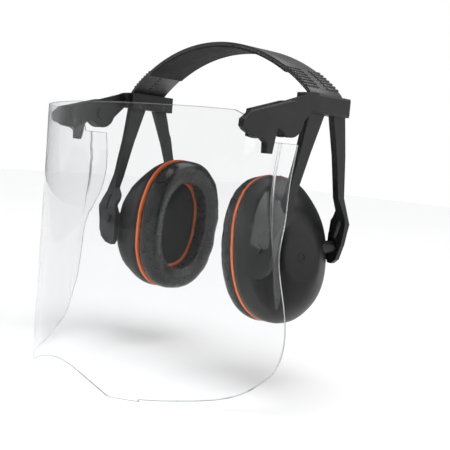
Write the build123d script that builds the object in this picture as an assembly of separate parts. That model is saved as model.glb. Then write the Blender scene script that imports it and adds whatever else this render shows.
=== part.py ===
from build123d import *
import math
import os

# Over-head ear defenders with a flip-up clear visor. Millimetres, +Z up, -Y forward, +X to the wearer's left.
# The origin is midway between the ears, on the line through the two cups.

# Headband: a spring strap on one arc, with short upright tongues inside the brackets.
BAND_RADIUS = 144.5
BAND_CENTRE_Y = -11.6
BAND_WIDTH = 32.0
BAND_THICKNESS = 2.4
BAND_BEND_RADIUS = 8.0
TONGUE_X = 94.2
TONGUE_LENGTH = 1.0
BEND_BELOW_BRACKET_TOP = 3.96
LINER_THICKNESS = 1.2
LINER_HALF_ANGLE = 30.0
RIB_COUNT = 7
RIB_FIRST_ANGLE = 29.8
RIB_PITCH = 3.4
RIB_WIDTH = 1.5
RIB_LENGTH = 11.5
RIB_HEIGHT = 0.8
RIB_HOLE = 2.0

# Bracket at each end of the headband, with the arm that carries the visor.
BRACKET_BOTTOM_Z = 91.0
BRACKET_HEIGHT = 12.2
BRACKET_WALL = 4.0
BRACKET_OUTER_WALL = 2.85
BRACKET_FRONT_WALL = 3.2
BRACKET_REAR_WALL = 4.9
POCKET_CLEARANCE = 0.35
POCKET_WIDTH = 5.2
POCKET_FLOOR = 1.3
BAR_SLOT_DEPTH = 5.3
EDGE_BEVEL = 1.4
SCREW_RADIUS = 1.1
SCREW_HEAD_RADIUS = 1.9
SCREW_HEAD_DEPTH = 1.2
SCREW_LENGTH_IN_BAR = 3.0
SCREW_FROM_BAR_END = 6.0

# Visor pivot and the clamp that holds the visor.
PIVOT_Y = -53.0
PIVOT_Z = 84.4
DISC_RADIUS = 10.6
ARM_STEP_IN = 1.3
ARM_THICKNESS = 3.4
CLAMP_GAP = 0.3
CLAMP_OUTER_THICKNESS = 3.6
CLAMP_INNER_THICKNESS = 2.2
CLAMP_BEVEL = 0.6
LEVER_LENGTH = 15.0
LEVER_WIDTH = 5.4
PIVOT_PIN_RADIUS = 3.0
PIN_CLEARANCE = 0.05
PIN_HEAD_RADIUS = 5.0
PIN_HEAD_THICKNESS = 1.2
INNER_PLATE_LENGTH = 30.0
JAW_LENGTH = 31.0
RIVET_RADIUS = 1.2
RIVET_HEAD_RADIUS = 2.2
RIVET_HEAD_THICKNESS = 0.9

# Visor sheet.
VISOR_THICKNESS = 1.0
VISOR_TOP_Z = 86.5
VISOR_BOTTOM_Z = -89.0
VISOR_NOTCH_DEPTH = 12.5
VISOR_NOTCH_HALF_WIDTH = 44.0
SHEET_FROM_ARM = 2.2
SHEET_GAP = 0.08

# Yoke: two legs from the bracket to the cup.
YOKE_BAR_HEIGHT = 5.0
YOKE_THICKNESS = 4.6
YOKE_TIP_THICKNESS = 4.0
FRONT_TIP_Y = -49.5
REAR_TIP_Y = 28.4
BAR_FROM_OUTER_FACE = 2.4
CUP_PIVOT_X = 82.2
CUP_PIVOT_Z = 3.4
CUP_PIN_RADIUS = 2.2
CUP_PIN_HEAD_RADIUS = 3.4
CUP_PIN_REACH = 5.5
BOSS_RADIUS = 4.4
BOSS_GAP = 0.5

# Ear cup, in its own space: across, up and outward from the seal plate's middle.
CUP_HALF_WIDTH = 38.2
CUP_HALF_HEIGHT = 50.5
CUP_OVAL_POWER = 2.3
CUP_DEPTH = 34.5
CUP_WALL = 2.6
CUP_FACE_SHIFT_FORWARD = 7.6
CUP_FACE_SHIFT_DOWN = 7.2
CUP_TO_PIVOT = 27.5
CUP_YAW = 4.0
CUP_LEAN = -3.5
CUP_PIVOT_Y = -6.4
CUP_TILT = {"left": -9.0, "right": -2.0}
PLATE_THICKNESS = 2.0
PLATE_PROUD = 0.5
PLATE_HOLE_HALF_WIDTH = 22.2
PLATE_HOLE_HALF_HEIGHT = 33.0
PLATE_HOLE_SHIFT = -1.7
CUSHION_THICKNESS = 14.5
CUSHION_HOLE_HALF_WIDTH = 23.0
CUSHION_HOLE_HALF_HEIGHT = 33.8
FOAM_THICKNESS = 16.0
FOAM_CLEARANCE = 0.6
SCRIM_THICKNESS = 1.2
SCRIM_CLEARANCE = 0.3
SCRIM_SUNK = 0.5
PLUG_RADIUS = 3.4
PLUG_DEPTH = 1.6

SIDES = {"left": 1, "right": -1}


def side_face(points):
    """A face from (y, z) points."""
    return make_face(Polyline(*points, close=True))


def slab_yz(face, low_x, high_x):
    """Extrudes a (y, z) face from low_x to high_x."""
    plane = Plane(origin=(low_x, 0, 0), x_dir=(0, 1, 0), z_dir=(1, 0, 0))
    return plane.location * extrude(face, high_x - low_x)


def slab_xz(face, low_y, high_y):
    """Extrudes an (x, z) face from low_y to high_y."""
    plane = Plane(origin=(0, high_y, 0), x_dir=(1, 0, 0), z_dir=(0, -1, 0))
    return plane.location * extrude(face, high_y - low_y)


def block(low, high):
    """A box between two corners."""
    size = [b - a for a, b in zip(low, high)]
    middle = [(a + b) / 2 for a, b in zip(low, high)]
    return Pos(*middle) * Box(*size)


def rod_x(radius, low_x, high_x, y, z):
    """A cylinder along X."""
    return Pos((low_x + high_x) / 2, y, z) * Rot(0, 90, 0) * Cylinder(radius, high_x - low_x)


def rod_y(radius, low_y, high_y, x, z):
    """A cylinder along Y."""
    return Pos(x, (low_y + high_y) / 2, z) * Rot(90, 0, 0) * Cylinder(radius, high_y - low_y)


def one(shape):
    """The single largest solid of a result, as a plain solid."""
    return max(shape.solids(), key=lambda s: s.volume)


def solids_of(shapes):
    """One compound of separate solids, for a node that groups identical pieces."""
    return Compound(children=[s for shape in shapes for s in shape.solids()])


def for_side(shape, side):
    """The shape as modelled for the left, mirrored for the right."""
    return shape if side == "left" else mirror(shape, about=Plane.YZ)


# ---------------------------------------------------------------- headband

BAND_LOW_Y = BAND_CENTRE_Y - BAND_WIDTH / 2
BAND_HIGH_Y = BAND_CENTRE_Y + BAND_WIDTH / 2
BEND_ANGLE = math.degrees(math.asin((TONGUE_X - BAND_BEND_RADIUS) / (BAND_RADIUS - BAND_BEND_RADIUS)))
BEND_X = TONGUE_X - BAND_BEND_RADIUS
BEND_Z = BRACKET_BOTTOM_Z + BRACKET_HEIGHT - BEND_BELOW_BRACKET_TOP
BAND_CENTRE_Z = BEND_Z - (BAND_RADIUS - BAND_BEND_RADIUS) * math.cos(math.radians(BEND_ANGLE))


def band_outline(offset):
    """The band's line at a distance from its mid-surface, without the straight tongues."""
    start = 90 - BEND_ANGLE
    main = CenterArc((0, BAND_CENTRE_Z), BAND_RADIUS + offset, start, 2 * BEND_ANGLE)
    left = CenterArc((BEND_X, BEND_Z), BAND_BEND_RADIUS + offset, 0, start)
    right = CenterArc((-BEND_X, BEND_Z), BAND_BEND_RADIUS + offset, 180 - start, start)
    return [main, left, right]


def arc_sector(inner, outer, low_angle, high_angle, low_y, high_y):
    """A curved slab on the band's arc, between two angles from the top towards the left."""
    start, size = 90 - high_angle, high_angle - low_angle
    centre = (0, BAND_CENTRE_Z)
    a = CenterArc(centre, inner, start, size)
    b = CenterArc(centre, outer, start, size)
    ends = [Line(a @ 0, b @ 0), Line(a @ 1, b @ 1)]
    return slab_xz(make_face([a, b, *ends]), low_y, high_y)


def make_headband():
    half = BAND_THICKNESS / 2
    low_z = BEND_Z - TONGUE_LENGTH
    edges = band_outline(half) + band_outline(-half)
    for sign in (1, -1):
        outer_x, inner_x = sign * (TONGUE_X + half), sign * (TONGUE_X - half)
        edges += [Line((outer_x, BEND_Z), (outer_x, low_z)), Line((inner_x, BEND_Z), (inner_x, low_z)),
                  Line((outer_x, low_z), (inner_x, low_z))]
    band = slab_xz(make_face(edges), BAND_LOW_Y, BAND_HIGH_Y)
    outer = BAND_RADIUS + half
    step = math.degrees(RIB_PITCH / outer)
    width = math.degrees(RIB_WIDTH / outer)
    for sign in (1, -1):
        for i in range(RIB_COUNT):
            angle = RIB_FIRST_ANGLE + i * step
            if angle + width > BEND_ANGLE - 0.3:
                break
            low, high = sorted((sign * angle, sign * (angle + width)))
            for low_y in (BAND_LOW_Y, BAND_HIGH_Y - RIB_LENGTH):
                band += arc_sector(outer - 0.4, outer + RIB_HEIGHT, low, high, low_y, low_y + RIB_LENGTH)
            hole_y = BAND_LOW_Y + RIB_LENGTH + 0.2
            band -= arc_sector(outer - BAND_THICKNESS - 1, outer + 1, low, high, hole_y, hole_y + RIB_HOLE)
    return one(band)


def make_liner():
    outer = BAND_RADIUS - BAND_THICKNESS / 2
    return one(arc_sector(outer - LINER_THICKNESS, outer, -LINER_HALF_ANGLE, LINER_HALF_ANGLE,
                          BAND_LOW_Y, BAND_HIGH_Y))


# ---------------------------------------------------------------- bracket

BRACKET_TOP_Z = BRACKET_BOTTOM_Z + BRACKET_HEIGHT
POCKET_HIGH_X = TONGUE_X + BAND_THICKNESS / 2 + POCKET_CLEARANCE
POCKET_LOW_X = POCKET_HIGH_X - POCKET_WIDTH
POCKET_FLOOR_Z = BRACKET_BOTTOM_Z + BAR_SLOT_DEPTH + POCKET_FLOOR
BRACKET_INNER_X = POCKET_LOW_X - BRACKET_WALL
BRACKET_OUTER_X = POCKET_HIGH_X + BRACKET_OUTER_WALL
BRACKET_LOW_Y = BAND_LOW_Y - POCKET_CLEARANCE - BRACKET_FRONT_WALL
BRACKET_HIGH_Y = BAND_HIGH_Y + POCKET_CLEARANCE + BRACKET_REAR_WALL
BAR_LOW_Y = BRACKET_LOW_Y + 2.6
BAR_HIGH_Y = BRACKET_HIGH_Y - 2.4
BAR_HIGH_X = BRACKET_OUTER_X - BAR_FROM_OUTER_FACE
BAR_LOW_X = BAR_HIGH_X - YOKE_THICKNESS
SCREW_Z = BRACKET_BOTTOM_Z + YOKE_BAR_HEIGHT / 2
ARM_INNER_X = BRACKET_OUTER_X - ARM_STEP_IN
ARM_OUTER_X = ARM_INNER_X + ARM_THICKNESS
VISOR_SIDE_X = ARM_INNER_X + SHEET_FROM_ARM


def make_bracket():
    body = block((BRACKET_INNER_X, BRACKET_LOW_Y, BRACKET_BOTTOM_Z),
                 (BRACKET_OUTER_X, BRACKET_HIGH_Y, BRACKET_TOP_Z))
    top_edge = body.edges().filter_by(Axis.Y).group_by(Axis.Z)[-1].sort_by(Axis.X)[-1]
    bottom_edge = body.edges().filter_by(Axis.Y).group_by(Axis.Z)[0].sort_by(Axis.X)[-1]
    rear_edge = body.edges().filter_by(Axis.Z).group_by(Axis.Y)[-1].sort_by(Axis.X)[-1]
    body = chamfer([top_edge, bottom_edge, rear_edge], EDGE_BEVEL)
    # The arm: from the bracket's front corner down to the round end that carries the visor pivot.
    disc = Circle(DISC_RADIUS)
    root_y = BRACKET_LOW_Y + 5
    arm_face = side_face([(root_y, BRACKET_BOTTOM_Z + 0.4), (root_y, BRACKET_TOP_Z - 0.4),
                          (BRACKET_LOW_Y + 1.5, BRACKET_TOP_Z), (PIVOT_Y - 3, PIVOT_Z + DISC_RADIUS * 0.96),
                          (PIVOT_Y + 6.5, PIVOT_Z - DISC_RADIUS * 0.79),
                          (BRACKET_LOW_Y, BRACKET_BOTTOM_Z + 0.4)])
    arm = slab_yz(arm_face + Pos(PIVOT_Y, PIVOT_Z) * disc, ARM_INNER_X, ARM_OUTER_X)
    root_low, root_high = BRACKET_LOW_Y - 3.5, BRACKET_LOW_Y + 0.2
    root = slab_yz(side_face([(root_low, BRACKET_BOTTOM_Z + 0.4), (root_high, BRACKET_BOTTOM_Z),
                              (root_high, BRACKET_TOP_Z), (root_low, BRACKET_TOP_Z - 1.4)]),
                   BRACKET_INNER_X + 4, ARM_OUTER_X)
    body = body + arm + root
    pocket = block((POCKET_LOW_X, BAND_LOW_Y - POCKET_CLEARANCE, POCKET_FLOOR_Z),
                   (POCKET_HIGH_X, BAND_HIGH_Y + POCKET_CLEARANCE, BRACKET_TOP_Z + 5))
    bar_slot = block((BAR_LOW_X - 0.1, BAR_LOW_Y - 0.1, BRACKET_BOTTOM_Z - 1),
                     (BAR_HIGH_X + 0.1, BAR_HIGH_Y + 0.1, BRACKET_BOTTOM_Z + BAR_SLOT_DEPTH))
    pivot_hole = rod_x(PIVOT_PIN_RADIUS + PIN_CLEARANCE, ARM_INNER_X - 1, ARM_OUTER_X + 1, PIVOT_Y, PIVOT_Z)
    body = body - pocket - bar_slot - pivot_hole
    for y in screw_places():
        body -= rod_x(SCREW_RADIUS + 0.1, BRACKET_INNER_X - 1, BAR_LOW_X, y, SCREW_Z)
        body -= rod_x(SCREW_HEAD_RADIUS + 0.2, BRACKET_INNER_X - 1, BRACKET_INNER_X + SCREW_HEAD_DEPTH,
                      y, SCREW_Z)
    return one(body)


def screw_places():
    return [BAR_LOW_Y + SCREW_FROM_BAR_END, BAR_HIGH_Y - SCREW_FROM_BAR_END]


def make_screws():
    screws = []
    for y in screw_places():
        head = rod_x(SCREW_HEAD_RADIUS, BRACKET_INNER_X + 0.05, BRACKET_INNER_X + SCREW_HEAD_DEPTH,
                     y, SCREW_Z)
        shank = rod_x(SCREW_RADIUS, BRACKET_INNER_X + 0.5, BAR_LOW_X + SCREW_LENGTH_IN_BAR, y, SCREW_Z)
        recess = Pos(BRACKET_INNER_X, y, SCREW_Z) * Rot(0, 90, 0) * extrude(RegularPolygon(1.0, 6), 0.7)
        screws.append(one(head + shank - recess))
    return solids_of(screws)


def make_ratchet_spring():
    """A thin leaf with a tooth that bears on the headband's tongue."""
    low_y, high_y = BAND_CENTRE_Y - 7, BAND_CENTRE_Y + 7
    leaf_x = POCKET_LOW_X + 0.15
    leaf = block((leaf_x, low_y, POCKET_FLOOR_Z + 0.1), (leaf_x + 0.6, high_y, BRACKET_TOP_Z - 0.8))
    tooth_face = make_face(Polyline((leaf_x + 0.3, POCKET_FLOOR_Z + 0.6), (leaf_x + 1.1, POCKET_FLOOR_Z + 1.3),
                                    (leaf_x + 0.3, POCKET_FLOOR_Z + 2.0), close=True))
    tooth = slab_xz(tooth_face, low_y + 2, high_y - 2)
    return one(leaf + tooth)


# ---------------------------------------------------------------- yoke

# Each plate's outline seen from the front, from its outer kink to its inner one: (x, z) from the cup's pivot.
FRONT_PLATE = [(14.8, 16.6), (13.8, 11.6), (11.0, -10.4), (8.3, -14.9), (1.8, -19.0), (-6.2, -19.9),
               (-9.2, -16.4), (-9.2, 4.6), (-4.2, 14.6), (5.8, 23.6)]
REAR_PLATE = [(10.3, 16.6), (9.3, 11.6), (7.8, 2.6), (4.3, -8.4), (0.5, -11.6), (-2.6, -11.4),
              (-4.2, -8.4), (-4.2, 8.6), (-2.2, 18.6), (3.8, 25.6)]
WAIST_Z = 38.0
SLOT_WIDTH = 2.4
SLOT_LENGTH = 13.0
SLOT_TURN = 21.0


def leg_front_view(waist_x, plate):
    """A leg seen from the front: down and slightly in, then a kink into the wide plate at the cup's pivot."""
    top_z = BRACKET_BOTTOM_Z + 1
    ends = [(CUP_PIVOT_X + x, CUP_PIVOT_Z + z) for x, z in plate]
    return make_face(Polyline((BAR_HIGH_X, top_z), (waist_x, WAIST_Z), *ends,
                              (waist_x - YOKE_THICKNESS, WAIST_Z + 2), (BAR_LOW_X, top_z), close=True))


def make_yoke():
    bar = block((BAR_LOW_X, BAR_LOW_Y, BRACKET_BOTTOM_Z),
                (BAR_HIGH_X, BAR_HIGH_Y, BRACKET_BOTTOM_Z + YOKE_BAR_HEIGHT))
    tip = YOKE_TIP_THICKNESS
    top_z = BRACKET_BOTTOM_Z + 0.5
    low_z = CUP_PIVOT_Z - 21
    front = side_face([(BAR_LOW_Y, top_z), (-32.6, 66), (-37.8, 42), (-42.6, 24), (FRONT_TIP_Y, 12),
                       (FRONT_TIP_Y, low_z), (FRONT_TIP_Y + tip, low_z), (FRONT_TIP_Y + tip, 14),
                       (-37.6, 22), (-31.8, 38), (-22.8, 66), (BAR_LOW_Y + 15, top_z)])
    rear = side_face([(BAR_HIGH_Y - 12, top_z), (5.2, 66), (14.0, 38), (REAR_TIP_Y - tip - 1.6, 24),
                      (REAR_TIP_Y - tip, 14), (REAR_TIP_Y - tip, low_z),
                      (REAR_TIP_Y, low_z), (REAR_TIP_Y, 20),
                      (20.2, 38), (14.2, 66), (BAR_HIGH_Y, top_z)])
    yoke = bar
    for outline, low_y, high_y, waist_x, plate in ((front, -65, -5, BAR_HIGH_X - 2.0, FRONT_PLATE),
                                                   (rear, -10, 45, BAR_HIGH_X - 4.2, REAR_PLATE)):
        leg = slab_yz(outline, 60, 120) & slab_xz(leg_front_view(waist_x, plate), low_y, high_y)
        yoke += one(leg)
    # A long slot through each plate, and the holes for the cup's pins.
    slot = Rot(0, SLOT_TURN, 0) * (Box(SLOT_WIDTH, 14, SLOT_LENGTH - SLOT_WIDTH)
                                   + rod_y(SLOT_WIDTH / 2, -7, 7, 0, (SLOT_LENGTH - SLOT_WIDTH) / 2)
                                   + rod_y(SLOT_WIDTH / 2, -7, 7, 0, (SLOT_WIDTH - SLOT_LENGTH) / 2))
    for y, x in ((FRONT_TIP_Y + tip / 2, 4.6), (REAR_TIP_Y - tip / 2, 3.6)):
        yoke -= Pos(CUP_PIVOT_X + x, y, CUP_PIVOT_Z + 12.4) * slot
        yoke -= rod_y(CUP_PIN_RADIUS + PIN_CLEARANCE, y - 6, y + 6, CUP_PIVOT_X, CUP_PIVOT_Z)
    for y in screw_places():
        yoke -= rod_x(SCREW_RADIUS + 0.02, BAR_LOW_X - 1, BAR_LOW_X + SCREW_LENGTH_IN_BAR + 0.2, y, SCREW_Z)
    return one(yoke)


# ---------------------------------------------------------------- visor and clamps

SHEET_LOW_X = VISOR_SIDE_X - VISOR_THICKNESS / 2
SHEET_HIGH_X = VISOR_SIDE_X + VISOR_THICKNESS / 2
CLAMP_INNER_HIGH_X = ARM_INNER_X - CLAMP_GAP
CLAMP_INNER_LOW_X = CLAMP_INNER_HIGH_X - CLAMP_INNER_THICKNESS
CLAMP_OUTER_LOW_X = ARM_OUTER_X + CLAMP_GAP
CLAMP_OUTER_HIGH_X = CLAMP_OUTER_LOW_X + CLAMP_OUTER_THICKNESS
JAW_REAR_Y = PIVOT_Y - DISC_RADIUS - 1.6
JAW_FRONT_Y = PIVOT_Y - JAW_LENGTH


def jaw_face():
    """The part of the clamp that closes on the visor sheet, seen from the side."""
    return side_face([(JAW_REAR_Y, 50), (JAW_REAR_Y, 110), (JAW_FRONT_Y, 110), (JAW_FRONT_Y, 50)])


def visor_space():
    """The visor sheet with its gap all round, as the space the clamp keeps free."""
    return thicken(visor_surface(), VISOR_THICKNESS / 2 + SHEET_GAP, both=True)


def clamp_face(lever=True):
    """The clamp from the side: a round lobe on the pivot, a bar forward, a lever down and a nub in front."""
    y, z = PIVOT_Y, PIVOT_Z
    radius = DISC_RADIUS + 0.4
    corner = Vector(-34.6, 1.6)
    towards_corner = math.radians(180 - math.degrees(math.atan2(corner.Y, -corner.X)))
    tangent = towards_corner - math.acos(radius / corner.length)
    points = [(y, z), (y + radius * math.cos(tangent), z + radius * math.sin(tangent)),
              (y + corner.X, z + corner.Y),
              (y - 38.4, z - 1.8), (y - 40.8, z - 3.6), (y - 41.0, z - 7.6), (y - 38.4, z - 9.8),
              (y - 32.0, z - 12.2), (y - 23.6, z - 13.4)]
    if lever:
        points += [(y - 20.6, z - 15.2), (y - 19.8, z - 6.6 - LEVER_LENGTH),
                   (y - 19.8 + LEVER_WIDTH, z - 6.6 - LEVER_LENGTH)]
    points += [(y - 11.6, z - 6.4), (y - 5.0, z - 9.0)]
    return side_face(points) + Pos(y, z) * Circle(radius)


def make_clamp():
    """The outer half, with the lever; its front part reaches in to the visor sheet."""
    plate = slab_yz(clamp_face(), CLAMP_OUTER_LOW_X, CLAMP_OUTER_HIGH_X)
    jaw = slab_yz(clamp_face() & jaw_face(), SHEET_HIGH_X + SHEET_GAP, CLAMP_OUTER_LOW_X + 0.5)
    rim = plate.faces().filter_by(Axis.X).sort_by(Axis.X)[-1].edges()
    clamp = one((chamfer(rim, CLAMP_BEVEL) + jaw) - visor_space())
    clamp -= rod_x(PIVOT_PIN_RADIUS + PIN_CLEARANCE, CLAMP_OUTER_LOW_X - 1, CLAMP_OUTER_HIGH_X - 1.4,
                   PIVOT_Y, PIVOT_Z)
    for y, z in rivet_places():
        clamp -= rod_x(RIVET_RADIUS + 0.02, SHEET_LOW_X, CLAMP_OUTER_HIGH_X - 1.6, y, z)
    return one(clamp)


def inner_clamp_face():
    """The inner half's outline: shorter than the outer half and without the lever."""
    reach = side_face([(PIVOT_Y + 30, 50), (PIVOT_Y + 30, 110), (PIVOT_Y - INNER_PLATE_LENGTH + 4, 110),
                       (PIVOT_Y - INNER_PLATE_LENGTH, PIVOT_Z), (PIVOT_Y - INNER_PLATE_LENGTH + 3, 50)])
    return clamp_face(lever=False) & reach


def make_clamp_plate():
    """The inner half, behind the arm and the visor sheet."""
    plate = slab_yz(inner_clamp_face(), CLAMP_INNER_LOW_X, CLAMP_INNER_HIGH_X)
    jaw = slab_yz(inner_clamp_face() & jaw_face(), CLAMP_INNER_HIGH_X - 0.5, SHEET_LOW_X - SHEET_GAP)
    plate = (plate + jaw) - visor_space()
    plate -= rod_x(PIVOT_PIN_RADIUS + PIN_CLEARANCE, CLAMP_INNER_LOW_X - 1, CLAMP_INNER_HIGH_X + 1,
                   PIVOT_Y, PIVOT_Z)
    for y, z in rivet_places():
        plate -= rod_x(RIVET_RADIUS + 0.02, CLAMP_INNER_LOW_X - 1, SHEET_HIGH_X, y, z)
    return one(plate)


def rivet_places():
    return [(PIVOT_Y - 17.0, PIVOT_Z - 7.6), (PIVOT_Y - 25.0, PIVOT_Z - 7.6)]


def make_rivets():
    rivets = []
    for y, z in rivet_places():
        shank = rod_x(RIVET_RADIUS, CLAMP_INNER_LOW_X - 0.2, CLAMP_OUTER_HIGH_X - 1.8, y, z)
        head = rod_x(RIVET_HEAD_RADIUS, CLAMP_INNER_LOW_X - RIVET_HEAD_THICKNESS - 0.02,
                     CLAMP_INNER_LOW_X - 0.02, y, z)
        rivets.append(one(shank + head))
    return solids_of(rivets)


def make_visor_pin():
    shank = rod_x(PIVOT_PIN_RADIUS, CLAMP_INNER_LOW_X - 0.3, CLAMP_OUTER_HIGH_X - 1.6, PIVOT_Y, PIVOT_Z)
    head = rod_x(PIN_HEAD_RADIUS, CLAMP_INNER_LOW_X - PIN_HEAD_THICKNESS - 0.05, CLAMP_INNER_LOW_X - 0.05,
                 PIVOT_Y, PIVOT_Z)
    return one(shank + head)


# Half sections of the visor's mid-surface: (z, [(share of the side's x, y) from rear to middle]).
VISOR_SECTIONS = [
    (100, [(1.0, -30), (1.0, -58), (1.0, -71), (1.0, -84), (0.89, -103), (0.603, -116.5), (0.302, -124.5),
           (0, -127.0)]),
    (66, [(1.0, -30), (1.0, -58), (1.0, -71), (1.0, -84), (0.89, -103), (0.603, -117.0), (0.302, -125.5),
          (0, -128.2)]),
    (34, [(0.97, -30), (0.985, -58), (0.99, -71), (0.991, -84), (0.88, -103), (0.603, -118.0),
          (0.302, -127.0), (0, -129.8)]),
    (0, [(1.075, -34), (1.05, -60), (1.015, -73), (0.98, -85), (0.865, -103), (0.603, -119.2),
         (0.302, -128.6), (0, -131.4)]),
    (-45, [(1.215, -34), (1.115, -61), (1.045, -72.5), (0.98, -83), (0.825, -102), (0.593, -120.5),
           (0.302, -130.6), (0, -133.4)]),
    (-100, [(1.225, -40), (1.085, -65), (1.015, -74), (0.94, -82.5), (0.785, -100), (0.583, -120.5),
            (0.302, -132.0), (0, -135.2)]),
]


def visor_surface():
    rows = []
    for z, half in VISOR_SECTIONS:
        left = [Vector(share * VISOR_SIDE_X, y, z) for share, y in half]
        right = [Vector(-share * VISOR_SIDE_X, y, z) for share, y in half[:-1]]
        rows.append(left + right[::-1])
    return Face.make_surface_from_array_of_points(rows, tol=0.05, min_deg=3, max_deg=3)


def make_visor():
    sheet = thicken(visor_surface(), VISOR_THICKNESS / 2, both=True)
    # Rear edge and lower corner, seen from the side.
    rear_line = Spline((-43.5, 62), (-43.6, 40), (-46.5, 22), (-53.2, 4), (-53.6, -20), (-52.6, -40),
                       (-57.5, -64), (-71, -79.5), (-90, -86.3), (-118, VISOR_BOTTOM_Z))
    top = [Line((-43.5, 62), (-43.5, PIVOT_Z - 14.5)), Line((-43.5, PIVOT_Z - 14.5), (-64.5, PIVOT_Z - 14.5)),
           Line((-64.5, PIVOT_Z - 14.5), (-66.5, PIVOT_Z - 4.4)),
           Line((-66.5, PIVOT_Z - 4.4), (-84.5, PIVOT_Z - 2.0)),
           Line((-84.5, PIVOT_Z - 2.0), (-93.8, VISOR_TOP_Z - 0.8)),
           Line((-93.8, VISOR_TOP_Z - 0.8), (-160, VISOR_TOP_Z)),
           Line((-160, VISOR_TOP_Z), (-160, -110)), Line((-160, -110), (-118, -110)),
           Line((-118, -110), (-118, VISOR_BOTTOM_Z))]
    side_cutter = slab_yz(make_face([rear_line, *top]), -140, 140)
    # Lower edge with the wide notch in the middle, seen from the front.
    w, low, peak = VISOR_NOTCH_HALF_WIDTH, VISOR_BOTTOM_Z - 1.5, VISOR_BOTTOM_Z + VISOR_NOTCH_DEPTH - 1.5
    notch = Spline((w, low), (w * 0.55, peak - 4.5), (0, peak), (-w * 0.55, peak - 4.5), (-w, low))
    corner = VISOR_BOTTOM_Z + 0.4
    lower = [Line((w, low), (140, corner)), Line((140, corner), (140, 120)), Line((140, 120), (-140, 120)),
             Line((-140, 120), (-140, corner)), Line((-140, corner), (-w, low))]
    front_cutter = slab_xz(make_face([notch, *lower]), -170, 0)
    sheet = one(sheet & side_cutter & front_cutter)
    for y, z in rivet_places():
        sheet -= rod_x(RIVET_RADIUS + 0.05, -110, 110, y, z)
    return one(sheet)


# ---------------------------------------------------------------- ear cups

def cup_location(side):
    """Where the cup's own space sits: turned about the yoke's pivot line by that side's tilt."""
    turned = Rot(0, 0, -CUP_YAW) * Rot(0, CUP_TILT[side], 0) * Rot(CUP_LEAN, 0, 0)
    axes = turned * Plane(origin=(0, 0, 0), x_dir=(0, 1, 0), z_dir=(1, 0, 0)).location
    frame = Plane(axes)
    origin = Vector(CUP_PIVOT_X, CUP_PIVOT_Y, CUP_PIVOT_Z) - frame.z_dir * CUP_TO_PIVOT
    return Plane(origin=origin, x_dir=frame.x_dir, z_dir=frame.z_dir).location


def oval(half_width, half_height, height, shift=(0, 0), power=CUP_OVAL_POWER, count=20):
    """A closed oval in the cup's space, between an ellipse and a rectangle."""
    points = []
    for i in range(count):
        t = 2 * math.pi * i / count
        c, s = math.cos(t), math.sin(t)
        x = shift[0] + half_width * math.copysign(abs(c) ** (2 / power), c)
        y = shift[1] + half_height * math.copysign(abs(s) ** (2 / power), s)
        points.append((x, y, height))
    return make_face(Spline(*points, periodic=True))


# How the shell narrows outward: (share of depth, share of half width, share of half height).
SHELL_STEPS = [(0.0, 1.0, 1.0), (0.25, 0.955, 0.98), (0.475, 0.91, 0.885), (0.675, 0.845, 0.76),
               (0.825, 0.70, 0.635), (0.94, 0.53, 0.48), (1.0, 0.35, 0.31)]
FLAT = PLATE_THICKNESS / 2


def shell_loft(inset, depth, base):
    sections = []
    for level, wide, tall in SHELL_STEPS:
        shift = (-CUP_FACE_SHIFT_FORWARD * level, -CUP_FACE_SHIFT_DOWN * level)
        sections.append(oval(CUP_HALF_WIDTH * wide - inset, CUP_HALF_HEIGHT * tall - inset,
                             base + (depth - base) * level, shift))
    return loft(sections)


def make_cup_shell(side):
    where = cup_location(side)
    outer = shell_loft(0, CUP_DEPTH, FLAT)
    inner = shell_loft(CUP_WALL, CUP_DEPTH - CUP_WALL, FLAT - 0.5)
    face_centre = (-CUP_FACE_SHIFT_FORWARD, -CUP_FACE_SHIFT_DOWN)
    plug_hole = Pos(face_centre[0], face_centre[1], CUP_DEPTH) * Cylinder(PLUG_RADIUS + 0.15, 2 * PLUG_DEPTH)
    outer = where * (outer - plug_hole)
    inner = where * inner
    boss = rod_y(BOSS_RADIUS, FRONT_TIP_Y + YOKE_TIP_THICKNESS + BOSS_GAP,
                 REAR_TIP_Y - YOKE_TIP_THICKNESS - BOSS_GAP, CUP_PIVOT_X, CUP_PIVOT_Z)
    shell = (outer + boss) - inner
    for low_y, high_y in pin_spans():
        shell -= rod_y(CUP_PIN_RADIUS + PIN_CLEARANCE, low_y - 0.1, high_y + 0.1, CUP_PIVOT_X, CUP_PIVOT_Z)
    return one(shell)


def pin_spans():
    """Where each cup pin lies along Y: front, then rear."""
    return [(FRONT_TIP_Y - 0.4, FRONT_TIP_Y + YOKE_TIP_THICKNESS + CUP_PIN_REACH),
            (REAR_TIP_Y - YOKE_TIP_THICKNESS - CUP_PIN_REACH, REAR_TIP_Y + 0.4)]


def make_cup_pins():
    pins = []
    for (low_y, high_y), head in zip(pin_spans(), (-1, 1)):
        shank = rod_y(CUP_PIN_RADIUS, low_y, high_y, CUP_PIVOT_X, CUP_PIVOT_Z)
        end = low_y if head < 0 else high_y
        low, high = sorted((end, end + head * 1.2))
        pins.append(one(shank + rod_y(CUP_PIN_HEAD_RADIUS, low, high, CUP_PIVOT_X, CUP_PIVOT_Z)))
    return solids_of(pins)


def make_seal_plate(side):
    plate = extrude(oval(CUP_HALF_WIDTH + PLATE_PROUD, CUP_HALF_HEIGHT + PLATE_PROUD, -FLAT), PLATE_THICKNESS)
    hole = extrude(oval(PLATE_HOLE_HALF_WIDTH, PLATE_HOLE_HALF_HEIGHT, -FLAT - 1, (PLATE_HOLE_SHIFT, 0)),
                   PLATE_THICKNESS + 2)
    return one(cup_location(side) * (plate - hole))


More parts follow.
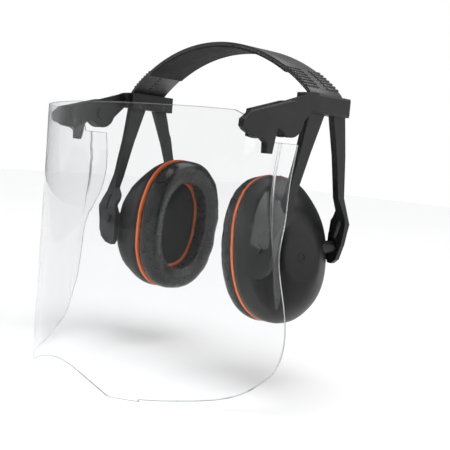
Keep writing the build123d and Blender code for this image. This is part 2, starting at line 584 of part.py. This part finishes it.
def make_cushion(side):
    top, low = -FLAT, -FLAT - CUSHION_THICKNESS
    body = loft([oval(CUP_HALF_WIDTH - 0.6, CUP_HALF_HEIGHT - 0.6, low + CUSHION_THICKNESS),
                 oval(CUP_HALF_WIDTH + 0.6, CUP_HALF_HEIGHT + 0.6, low + CUSHION_THICKNESS * 0.62),
                 oval(CUP_HALF_WIDTH - 1.6, CUP_HALF_HEIGHT - 1.6, low + CUSHION_THICKNESS * 0.22),
                 oval(CUP_HALF_WIDTH - 6.0, CUP_HALF_HEIGHT - 6.0, low)])
    hole = extrude(oval(CUSHION_HOLE_HALF_WIDTH, CUSHION_HOLE_HALF_HEIGHT, low - 1, (PLATE_HOLE_SHIFT, 0)),
                   CUSHION_THICKNESS + 2)
    return one(cup_location(side) * (body - hole))


def make_foam(side):
    inset = CUP_WALL + FOAM_CLEARANCE
    low = FLAT + FOAM_CLEARANCE
    whole = shell_loft(inset, CUP_DEPTH - inset, FLAT)
    band = Pos(0, 0, low + FOAM_THICKNESS / 2) * Box(120, 140, FOAM_THICKNESS)
    dish = Pos(PLATE_HOLE_SHIFT, 0, low - 22) * Sphere(30)
    foam = (whole & band) - dish
    shape = cup_location(side) * foam
    shape -= rod_y(BOSS_RADIUS + 0.6, -60, 50, CUP_PIVOT_X, CUP_PIVOT_Z)
    return one(shape)


def make_scrim(side):
    """A thin cloth disc over the foam, inside the seal plate's hole and sunk a little below its face."""
    disc = extrude(oval(PLATE_HOLE_HALF_WIDTH - SCRIM_CLEARANCE, PLATE_HOLE_HALF_HEIGHT - SCRIM_CLEARANCE,
                        SCRIM_SUNK - FLAT, (PLATE_HOLE_SHIFT, 0)), SCRIM_THICKNESS)
    return one(cup_location(side) * disc)


def make_plug(side):
    place = Pos(-CUP_FACE_SHIFT_FORWARD, -CUP_FACE_SHIFT_DOWN, CUP_DEPTH - PLUG_DEPTH / 2 + 0.1)
    recess = Pos(0, 0, PLUG_DEPTH / 2) * Cylinder(PLUG_RADIUS - 0.9, 0.6)
    plug = place * (Cylinder(PLUG_RADIUS, PLUG_DEPTH) - recess)
    return one(cup_location(side) * plug)


def main():
    os.makedirs("parts", exist_ok=True)
    nodes = {"headband": make_headband(), "headband_liner": make_liner(), "visor": make_visor()}
    shared = {"bracket": make_bracket(), "bracket_screws": make_screws(),
              "ratchet_spring": make_ratchet_spring(),
              "yoke": make_yoke(), "visor_clamp": make_clamp(), "clamp_plate": make_clamp_plate(),
              "clamp_rivets": make_rivets(), "visor_pin": make_visor_pin(), "cup_pins": make_cup_pins()}
    cup_makers = {"cup_shell": make_cup_shell, "seal_plate": make_seal_plate, "ear_cushion": make_cushion,
                  "foam_liner": make_foam, "foam_scrim": make_scrim, "cup_plug": make_plug}
    for side in SIDES:
        for name, shape in shared.items():
            nodes[f"{side}_{name}"] = for_side(shape, side)
        for name, maker in cup_makers.items():
            nodes[f"{side}_{name}"] = for_side(maker(side), side)
    for name, shape in nodes.items():
        export_step(shape, f"parts/{name}.step")


main()
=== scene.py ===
import math

import bmesh
import bpy
import numpy as np
from mathutils import Matrix, Vector, noise


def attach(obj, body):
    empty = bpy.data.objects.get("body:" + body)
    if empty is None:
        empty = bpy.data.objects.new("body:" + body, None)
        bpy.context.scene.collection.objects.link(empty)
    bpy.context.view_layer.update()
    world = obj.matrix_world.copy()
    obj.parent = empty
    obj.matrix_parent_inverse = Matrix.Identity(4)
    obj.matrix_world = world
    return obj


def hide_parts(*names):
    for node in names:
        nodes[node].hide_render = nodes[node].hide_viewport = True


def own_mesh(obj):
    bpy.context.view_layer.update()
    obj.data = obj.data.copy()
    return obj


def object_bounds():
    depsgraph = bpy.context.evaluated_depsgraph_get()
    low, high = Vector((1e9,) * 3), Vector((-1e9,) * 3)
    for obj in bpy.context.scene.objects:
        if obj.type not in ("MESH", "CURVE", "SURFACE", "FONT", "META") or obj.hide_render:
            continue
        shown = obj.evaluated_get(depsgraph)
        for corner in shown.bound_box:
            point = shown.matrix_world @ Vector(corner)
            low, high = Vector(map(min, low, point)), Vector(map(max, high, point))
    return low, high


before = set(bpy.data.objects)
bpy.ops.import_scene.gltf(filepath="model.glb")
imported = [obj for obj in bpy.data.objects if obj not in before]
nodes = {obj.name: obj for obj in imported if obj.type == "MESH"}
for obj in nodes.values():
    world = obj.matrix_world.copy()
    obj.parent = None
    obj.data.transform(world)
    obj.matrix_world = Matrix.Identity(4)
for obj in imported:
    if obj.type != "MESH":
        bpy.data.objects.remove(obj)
cad_low, cad_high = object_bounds()

SIDES = ("left", "right")
MM = 0.001

# Ear cup sizes in metres, in the cup's own space: across, up, and outward from the seal plate.
CUP_HALF_WIDTH = 38.2 * MM
CUP_HALF_HEIGHT = 50.5 * MM
CUP_OVAL_POWER = 2.3
PLATE_HALF_THICKNESS = 1.0 * MM
CUSHION_THICKNESS = 14.5 * MM
HOLE_HALF_WIDTH = 23.0 * MM
HOLE_HALF_HEIGHT = 33.8 * MM
HOLE_SHIFT = -1.7 * MM


# ---------------------------------------------------------------- material building

class Graph:
    """A new material's node tree, with short calls to add and join nodes."""

    def __init__(self, name):
        self.material = bpy.data.materials.new(name)
        self.material.use_nodes = True
        self.tree = self.material.node_tree
        self.shader = self.tree.nodes["Principled BSDF"]
        self.output = self.tree.nodes["Material Output"]
        self.coords = self.add("ShaderNodeTexCoord").outputs["Object"]

    def add(self, kind, **settings):
        node = self.tree.nodes.new(kind)
        for key, value in settings.items():
            setattr(node, key, value)
        return node

    def join(self, source, target):
        self.tree.links.new(source, target)

    def noise(self, scale, detail=4.0, roughness=0.55, stretch=(1, 1, 1)):
        """A noise value in object space; scale is in features per metre."""
        mapping = self.add("ShaderNodeMapping")
        mapping.inputs["Scale"].default_value = stretch
        self.join(self.coords, mapping.inputs["Vector"])
        node = self.add("ShaderNodeTexNoise")
        node.inputs["Scale"].default_value = scale
        node.inputs["Detail"].default_value = detail
        node.inputs["Roughness"].default_value = roughness
        self.join(mapping.outputs["Vector"], node.inputs["Vector"])
        return node.outputs["Fac"]

    def cells(self, scale, feature="F1", randomness=1.0):
        """Distance in a cell pattern in object space."""
        node = self.add("ShaderNodeTexVoronoi", feature=feature)
        node.inputs["Scale"].default_value = scale
        node.inputs["Randomness"].default_value = randomness
        self.join(self.coords, node.inputs["Vector"])
        return node.outputs["Distance"]

    def ramp(self, value, low, high, at_low, at_high):
        """Maps low..high of a value to at_low..at_high, clamped."""
        node = self.add("ShaderNodeMapRange")
        node.inputs["From Min"].default_value = low
        node.inputs["From Max"].default_value = high
        node.inputs["To Min"].default_value = at_low
        node.inputs["To Max"].default_value = at_high
        self.join(value, node.inputs["Value"])
        return node.outputs["Result"]

    def sum(self, a, b):
        node = self.add("ShaderNodeMath", operation="ADD")
        self.join(a, node.inputs[0])
        self.join(b, node.inputs[1])
        return node.outputs[0]

    def blend(self, value, first, second):
        """A colour between two others, by a value; either may be a tuple or another blend."""
        node = self.add("ShaderNodeMix", data_type="RGBA")
        self.join(value, node.inputs["Factor"])
        for socket, colour in ((node.inputs[6], first), (node.inputs[7], second)):
            if isinstance(colour, tuple):
                socket.default_value = (*colour, 1)
            else:
                self.join(colour, socket)
        return node.outputs[2]

    def bump(self, height, distance, strength=1.0, normal=None):
        node = self.add("ShaderNodeBump")
        node.inputs["Strength"].default_value = strength
        node.inputs["Distance"].default_value = distance
        self.join(height, node.inputs["Height"])
        if normal is not None:
            self.join(normal, node.inputs["Normal"])
        return node.outputs["Normal"]

    def round_edges(self, radius):
        """A normal that rounds sharp edges by a small radius."""
        node = self.add("ShaderNodeBevel", samples=4)
        node.inputs["Radius"].default_value = radius
        return node.outputs["Normal"]

    def sharp_edge(self, radius):
        """0 on flat faces and 1 along sharp edges."""
        bevel = self.round_edges(radius)
        geometry = self.add("ShaderNodeNewGeometry")
        dot = self.add("ShaderNodeVectorMath", operation="DOT_PRODUCT")
        self.join(bevel, dot.inputs[0])
        self.join(geometry.outputs["Normal"], dot.inputs[1])
        return self.ramp(dot.outputs["Value"], 0.99, 0.75, 0.0, 1.0)

    def edge_wear(self, radius, spread):
        """The same edge value, broken up by noise."""
        edge = self.sharp_edge(radius)
        patches = self.ramp(self.noise(spread, 3), 0.42, 0.62, 0.15, 1.0)
        both = self.add("ShaderNodeMath", operation="MULTIPLY")
        self.join(edge, both.inputs[0])
        self.join(patches, both.inputs[1])
        return both.outputs[0]


def moulded_plastic(name, dark, light, worn, rough, grain, grain_depth, gloss):
    """Black moulded plastic: cloudy colour, fine grain, rounded and rubbed edges."""
    g = Graph(name)
    clouds = g.ramp(g.noise(38, 5), 0.3, 0.7, 0, 1)
    base = g.blend(clouds, dark, light)
    g.join(g.blend(g.edge_wear(0.5 * MM, 160), base, worn), g.shader.inputs["Base Color"])
    fine = g.noise(grain, 2, 0.6)
    g.join(g.ramp(g.sum(g.noise(70, 4), fine), 0.6, 1.4, rough[0], rough[1]), g.shader.inputs["Roughness"])
    rounded = g.round_edges(0.35 * MM)
    g.join(g.bump(fine, grain_depth, 0.6, rounded), g.shader.inputs["Normal"])
    g.shader.inputs["Specular IOR Level"].default_value = gloss
    return g.material


def orange_plastic():
    """The orange ring: satin plastic with faint clouding and fine grain."""
    g = Graph("seal_orange")
    g.join(g.blend(g.ramp(g.noise(60, 4), 0.3, 0.7, 0, 1), (0.80, 0.135, 0.018), (0.92, 0.20, 0.035)),
           g.shader.inputs["Base Color"])
    fine = g.noise(2600, 2)
    g.join(g.ramp(fine, 0.3, 0.7, 0.36, 0.50), g.shader.inputs["Roughness"])
    g.join(g.bump(fine, 0.03 * MM, 0.5, g.round_edges(0.3 * MM)), g.shader.inputs["Normal"])
    return g.material


def cushion_vinyl():
    """Soft black vinyl with a fine grain, small creases and a thin glossy coat."""
    g = Graph("cushion_vinyl")
    clouds = g.ramp(g.noise(45, 5), 0.35, 0.7, 0, 1)
    g.join(g.blend(clouds, (0.003, 0.003, 0.0033), (0.008, 0.008, 0.0085)), g.shader.inputs["Base Color"])
    scuffs = g.noise(120, 6, 0.65)
    g.join(g.ramp(scuffs, 0.3, 0.75, 0.20, 0.38), g.shader.inputs["Roughness"])
    grain = g.bump(g.noise(2600, 2), 0.008 * MM, 0.3)
    creases = g.bump(g.noise(170, 4, 0.55, (1, 1, 0.55)), 0.25 * MM, 0.5, grain)
    g.join(creases, g.shader.inputs["Normal"])
    g.shader.inputs["Specular IOR Level"].default_value = 0.30
    g.shader.inputs["Coat Weight"].default_value = 0.12
    g.shader.inputs["Coat Roughness"].default_value = 0.12
    return g.material


def soft_foam(name, dark, light, scale, depth):
    """Matt foam or felt with open cells."""
    g = Graph(name)
    g.join(g.blend(g.ramp(g.cells(scale), 0.1, 0.7, 0, 1), light, dark), g.shader.inputs["Base Color"])
    g.join(g.ramp(g.noise(300, 3), 0.3, 0.7, 0.85, 1.0), g.shader.inputs["Roughness"])
    g.join(g.bump(g.cells(scale), depth, 0.8), g.shader.inputs["Normal"])
    g.shader.inputs["Sheen Weight"].default_value = 0.02
    g.shader.inputs["Specular IOR Level"].default_value = 0.1
    return g.material


def steel(name, dark, light, rough):
    """Metal with fine turning marks and darker patches."""
    g = Graph(name)
    g.join(g.blend(g.ramp(g.noise(500, 4), 0.3, 0.7, 0, 1), dark, light), g.shader.inputs["Base Color"])
    g.join(g.ramp(g.noise(900, 3), 0.3, 0.7, rough[0], rough[1]), g.shader.inputs["Roughness"])
    g.join(g.bump(g.noise(1400, 2, 0.5, (0.1, 1, 1)), 0.03 * MM, 0.4), g.shader.inputs["Normal"])
    g.shader.inputs["Metallic"].default_value = 1.0
    return g.material


def clear_sheet():
    """Clear sheet: lets lamp light through, with faint smears in its gloss and painted edge lines, grey cut
    edges that stand in for the dark lines and pale glints that light makes in the rim.
    """
    g = Graph("visor_clear")
    shader = g.shader
    smears = g.noise(18, 5, 0.6, (1, 1, 0.4))
    tint = g.blend(g.ramp(smears, 0.35, 0.7, 0, 1), (0.900, 0.905, 0.910), (0.925, 0.930, 0.935))
    # Painted edge lines: along the cut edges the colour turns grey, as painted shade and painted glints in
    # place of the light the rim bends and reflects.
    painted_edge_lines = g.sharp_edge(1.1 * MM)
    g.join(g.blend(painted_edge_lines, tint, (0.30, 0.31, 0.32)), shader.inputs["Base Color"])
    g.join(g.ramp(smears, 0.3, 0.75, 0.0, 0.035), shader.inputs["Roughness"])
    # The painted edge lines are also less clear, so they show pale over dark things behind the sheet.
    g.join(g.ramp(painted_edge_lines, 0, 1, 1.0, 0.35), shader.inputs["Transmission Weight"])
    shader.inputs["IOR"].default_value = 1.25
    see_through = g.add("ShaderNodeBsdfTransparent")
    see_through.inputs["Color"].default_value = (0.955, 0.96, 0.965, 1)
    mix = g.add("ShaderNodeMixShader")
    g.join(g.add("ShaderNodeLightPath").outputs["Is Shadow Ray"], mix.inputs["Fac"])
    g.join(shader.outputs["BSDF"], mix.inputs[1])
    g.join(see_through.outputs["BSDF"], mix.inputs[2])
    g.join(mix.outputs["Shader"], g.output.inputs["Surface"])
    return g.material


def floor_material():
    g = Graph("floor_white")
    g.join(g.blend(g.noise(6, 2), (0.90, 0.90, 0.90), (0.93, 0.93, 0.93)), g.shader.inputs["Base Color"])
    g.shader.inputs["Roughness"].default_value = 0.9
    g.shader.inputs["Specular IOR Level"].default_value = 0.1
    return g.material


MATERIALS = {
    "band": moulded_plastic("band_plastic", (0.040, 0.040, 0.041), (0.062, 0.062, 0.064),
                            (0.13, 0.13, 0.13), (0.36, 0.48), 1900, 0.04 * MM, 0.55),
    "frame": moulded_plastic("frame_plastic", (0.009, 0.009, 0.010), (0.016, 0.016, 0.017),
                             (0.075, 0.075, 0.076), (0.44, 0.58), 2200, 0.05 * MM, 0.32),
    "shell": moulded_plastic("shell_plastic", (0.0045, 0.0045, 0.005), (0.009, 0.009, 0.0095),
                             (0.04, 0.04, 0.04), (0.30, 0.42), 3000, 0.02 * MM, 0.22),
    "orange": orange_plastic(),
    "vinyl": cushion_vinyl(),
    "foam": soft_foam("absorber_foam", (0.004, 0.004, 0.005), (0.020, 0.020, 0.021), 900, 0.3 * MM),
    "cloth": soft_foam("absorber_cloth", (0.006, 0.006, 0.007), (0.014, 0.014, 0.015), 2600, 0.05 * MM),
    "liner": soft_foam("liner_foam", (0.030, 0.030, 0.031), (0.055, 0.055, 0.057), 1500, 0.08 * MM),
    "screw": steel("screw_steel", (0.04, 0.04, 0.04), (0.09, 0.09, 0.09), (0.40, 0.55)),
    "spring": steel("spring_steel", (0.40, 0.40, 0.41), (0.60, 0.60, 0.62), (0.22, 0.36)),
    "clear": clear_sheet(),
}

NODE_MATERIALS = {
    "visor": "clear", "bracket": "frame", "bracket_screws": "screw", "ratchet_spring": "spring",
    "yoke": "frame", "visor_clamp": "frame", "clamp_plate": "frame", "clamp_rivets": "screw",
    "visor_pin": "frame", "cup_pins": "frame", "cup_shell": "shell", "seal_plate": "orange",
    "foam_liner": "foam", "foam_scrim": "cloth", "cup_plug": "shell",
}


def base_name(node):
    """The node's name without its side."""
    head, _, tail = node.partition("_")
    return tail if head in SIDES else node


def set_material(obj, key):
    obj.data.materials.clear()
    obj.data.materials.append(MATERIALS[key])


def paint_cad_nodes():
    for name, obj in nodes.items():
        key = NODE_MATERIALS.get(base_name(name))
        if key:
            set_material(obj, key)


# ---------------------------------------------------------------- pieces

def new_object(name, mesh):
    obj = bpy.data.objects.new(name, mesh)
    bpy.context.scene.collection.objects.link(obj)
    return obj


def apply_modifiers(obj):
    """Turns the object's modifiers into its mesh."""
    graph = bpy.context.evaluated_depsgraph_get()
    mesh = bpy.data.meshes.new_from_object(obj.evaluated_get(graph))
    obj.modifiers.clear()
    obj.data = mesh


def smooth(obj):
    obj.data.polygons.foreach_set("use_smooth", [True] * len(obj.data.polygons))
    obj.data.update()


def cup_space(side):
    """The cup's own space, measured on the seal plate: across, up and outward axes, and its middle."""
    mesh = nodes[f"{side}_seal_plate"].data
    centres = np.array([p.center for p in mesh.polygons])
    areas = np.array([p.area for p in mesh.polygons])
    middle = (centres * areas[:, None]).sum(0) / areas.sum()
    spread = ((centres - middle) * areas[:, None]).T @ (centres - middle)
    axes = np.linalg.eigh(spread)[1]
    outward, across, up = (Vector(axes[:, i]) for i in range(3))
    sign = 1 if side == "left" else -1
    outward *= math.copysign(1, outward.x * sign)
    across *= math.copysign(1, across.y)
    up *= math.copysign(1, up.z)
    points = np.array([v.co for v in mesh.vertices])
    place = Vector((0, 0, 0))
    for axis in (outward, across, up):
        reach = points @ np.array(axis)
        place += axis * float(reach.min() + reach.max()) / 2
    space = Matrix((across, up, outward)).transposed().to_4x4()
    space.translation = place
    return space


def oval_point(angle, half_width, half_height, shift=0.0):
    c, s = math.cos(angle), math.sin(angle)
    power = 2 / CUP_OVAL_POWER
    return (shift + half_width * math.copysign(abs(c) ** power, c),
            half_height * math.copysign(abs(s) ** power, s))


# The cushion's section from the plate's outer side over the crown into the hole:
# (share from the outer oval to the hole, height above the plate in shares of the cushion's thickness).
CUSHION_SECTION = [
    (0.13, 0.00), (0.045, 0.03), (0.035, 0.09), (0.00, 0.17), (-0.035, 0.30), (-0.035, 0.45), (0.00, 0.62),
    (0.075, 0.78), (0.17, 0.90), (0.30, 0.975), (0.44, 1.00), (0.58, 0.985), (0.72, 0.945), (0.84, 0.895),
    (0.915, 0.862), (0.945, 0.872), (0.975, 0.868), (0.995, 0.835), (1.005, 0.76), (1.01, 0.60), (1.03, 0.42),
    (1.01, 0.22), (0.985, 0.10), (0.955, 0.02), (0.90, 0.00),
]
CUSHION_STEPS = 144
CREASE_DEPTH = 0.35 * MM
CREASES_PER_METRE = 90
LEFT_CREASE_SHIFT = 7


def make_cushion(side):
    """The ear cushion: a puffed vinyl ring with a bead round the hole, soft creases and a base groove."""
    space = cup_space(side)
    crease_shift = LEFT_CREASE_SHIFT if side == "left" else 0
    mesh = bpy.data.meshes.new(f"{side}_cushion_skin")
    work = bmesh.new()
    rings = []
    for i in range(CUSHION_STEPS):
        angle = 2 * math.pi * i / CUSHION_STEPS
        outer = Vector(oval_point(angle, CUP_HALF_WIDTH - 0.2 * MM, CUP_HALF_HEIGHT - 0.2 * MM))
        inner = Vector(oval_point(angle, HOLE_HALF_WIDTH, HOLE_HALF_HEIGHT, HOLE_SHIFT))
        ring = []
        for share, height in CUSHION_SECTION:
            flat = outer.lerp(inner, share)
            depth = PLATE_HALF_THICKNESS + height * CUSHION_THICKNESS
            crown = math.sin(math.pi * min(max(height, 0), 1)) if share > 0.5 else height
            waves = noise.noise(Vector((flat.x * CREASES_PER_METRE, flat.y * CREASES_PER_METRE,
                                        height * 2 + crease_shift)))
            pull = CREASE_DEPTH * crown * waves
            ring.append(work.verts.new((flat.x, flat.y, -depth + pull)))
        rings.append(ring)
    for i, ring in enumerate(rings):
        after = rings[(i + 1) % CUSHION_STEPS]
        for j in range(len(ring)):
            k = (j + 1) % len(ring)
            work.faces.new((ring[j], after[j], after[k], ring[k]))
    work.transform(space)
    bmesh.ops.recalc_face_normals(work, faces=work.faces)
    work.to_mesh(mesh)
    work.free()
    cushion = new_object(f"{side}_cushion_pad", mesh)
    cushion.modifiers.new("round", "SUBSURF").levels = 1
    cushion.modifiers["round"].render_levels = 1
    apply_modifiers(cushion)
    smooth(cushion)
    set_material(cushion, "vinyl")
    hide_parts(f"{side}_ear_cushion")
    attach(cushion, f"{side}_cup")


def band_piece(node, name, key, bevel):
    """A copy of a band node's shape with softened edges, which lowers with the height adjustment."""
    mesh = nodes[node].data.copy()
    work = bmesh.new()
    work.from_mesh(mesh)
    bmesh.ops.remove_doubles(work, verts=work.verts, dist=0.002 * MM)
    bmesh.ops.dissolve_limit(work, angle_limit=math.radians(0.4), verts=work.verts, edges=work.edges)
    work.to_mesh(mesh)
    work.free()
    piece = new_object(name, mesh)
    edge = piece.modifiers.new("edge", "BEVEL")
    edge.width = bevel
    edge.segments = 2
    edge.limit_method = "ANGLE"
    edge.angle_limit = math.radians(40)
    edge.harden_normals = True
    apply_modifiers(piece)
    smooth(piece)
    set_material(piece, key)
    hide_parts(node)
    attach(piece, "frame")
    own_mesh(piece)
    return piece


# ---------------------------------------------------------------- stage, light and camera

CAMERA_PLACE = Vector((0.40463, -0.38728, 0.05839))
CAMERA_AZIMUTH = 46.3192
CAMERA_ELEVATION = 5.1258
CAMERA_ROLL = 5.0376
CAMERA_LENS = 59.94


def make_camera():
    azimuth, elevation, roll = (math.radians(a) for a in (CAMERA_AZIMUTH, CAMERA_ELEVATION, CAMERA_ROLL))
    back = Vector((math.sin(azimuth) * math.cos(elevation), -math.cos(azimuth) * math.cos(elevation),
                   math.sin(elevation)))
    level = Vector((math.cos(azimuth), math.sin(azimuth), 0))
    upright = back.cross(level)
    right = math.cos(roll) * level + math.sin(roll) * upright
    up = math.cos(roll) * upright - math.sin(roll) * level
    data = bpy.data.cameras.new("camera")
    data.sensor_width = 36
    data.lens = CAMERA_LENS
    data.clip_start = 0.01
    data.clip_end = 50
    camera = bpy.data.objects.new("camera", data)
    camera.matrix_world = Matrix.Translation(CAMERA_PLACE) @ Matrix((right, up, back)).transposed().to_4x4()
    bpy.context.scene.collection.objects.link(camera)
    bpy.context.scene.camera = camera


def add_softbox(name, place, target, size, power):
    data = bpy.data.lights.new(name, "AREA")
    data.shape = "RECTANGLE"
    data.size, data.size_y = size
    data.energy = power
    lamp = bpy.data.objects.new(name, data)
    lamp.location = place
    lamp.rotation_euler = (Vector(target) - Vector(place)).to_track_quat("-Z", "Y").to_euler()
    bpy.context.scene.collection.objects.link(lamp)


def make_world():
    """White to the camera and through clear pieces, and dim in what it lights."""
    world = bpy.data.worlds.new("studio")
    bpy.context.scene.world = world
    world.use_nodes = True
    tree = world.node_tree
    background = tree.nodes["Background"]
    background.inputs["Color"].default_value = (0.97, 0.98, 1.0, 1)
    background.inputs["Strength"].default_value = 0.16
    white = tree.nodes.new("ShaderNodeBackground")
    white.inputs["Color"].default_value = (1, 1, 1, 1)
    white.inputs["Strength"].default_value = 1.0
    mix = tree.nodes.new("ShaderNodeMixShader")
    path = tree.nodes.new("ShaderNodeLightPath")
    seen = tree.nodes.new("ShaderNodeMath")
    seen.operation = "MAXIMUM"
    tree.links.new(path.outputs["Is Camera Ray"], seen.inputs[0])
    tree.links.new(path.outputs["Is Transmission Ray"], seen.inputs[1])
    tree.links.new(seen.outputs[0], mix.inputs["Fac"])
    tree.links.new(background.outputs[0], mix.inputs[1])
    tree.links.new(white.outputs[0], mix.inputs[2])
    tree.links.new(mix.outputs[0], tree.nodes["World Output"].inputs["Surface"])


FLOOR_HALF = 3.0
FLOOR_GAP = 0.2 * MM


def make_stage():
    z = cad_low.z - FLOOR_GAP
    corners = [(x * FLOOR_HALF, y * FLOOR_HALF, z) for x, y in ((-1, -1), (1, -1), (1, 1), (-1, 1))]
    mesh = bpy.data.meshes.new("floor")
    mesh.from_pydata(corners, [], [(0, 1, 2, 3)])
    floor = new_object("floor", mesh)
    mesh.materials.append(floor_material())


def make_lights():
    make_world()
    sun = bpy.data.lights.new("sky", "SUN")
    sun.energy = 2.95
    sun.angle = math.radians(70)
    lamp = bpy.data.objects.new("sky", sun)
    lamp.rotation_euler = (math.radians(-12), math.radians(8), 0)
    bpy.context.scene.collection.objects.link(lamp)
    add_softbox("rear_right", (0.95, 0.75, 0.45), (0, 0, 0), (0.8, 0.9), 4)
    add_softbox("front_left", (-0.75, -0.85, 0.75), (0, 0, 0), (1.4, 1.4), 1.2)
    bpy.context.scene.view_settings.view_transform = "Standard"


# ---------------------------------------------------------------- build

make_camera()
make_lights()
make_stage()
paint_cad_nodes()
for side in SIDES:
    make_cushion(side)
band_piece("headband", "headband_strap", "band", 0.35 * MM)
band_piece("headband_liner", "headband_pad", "liner", 0.2 * MM)
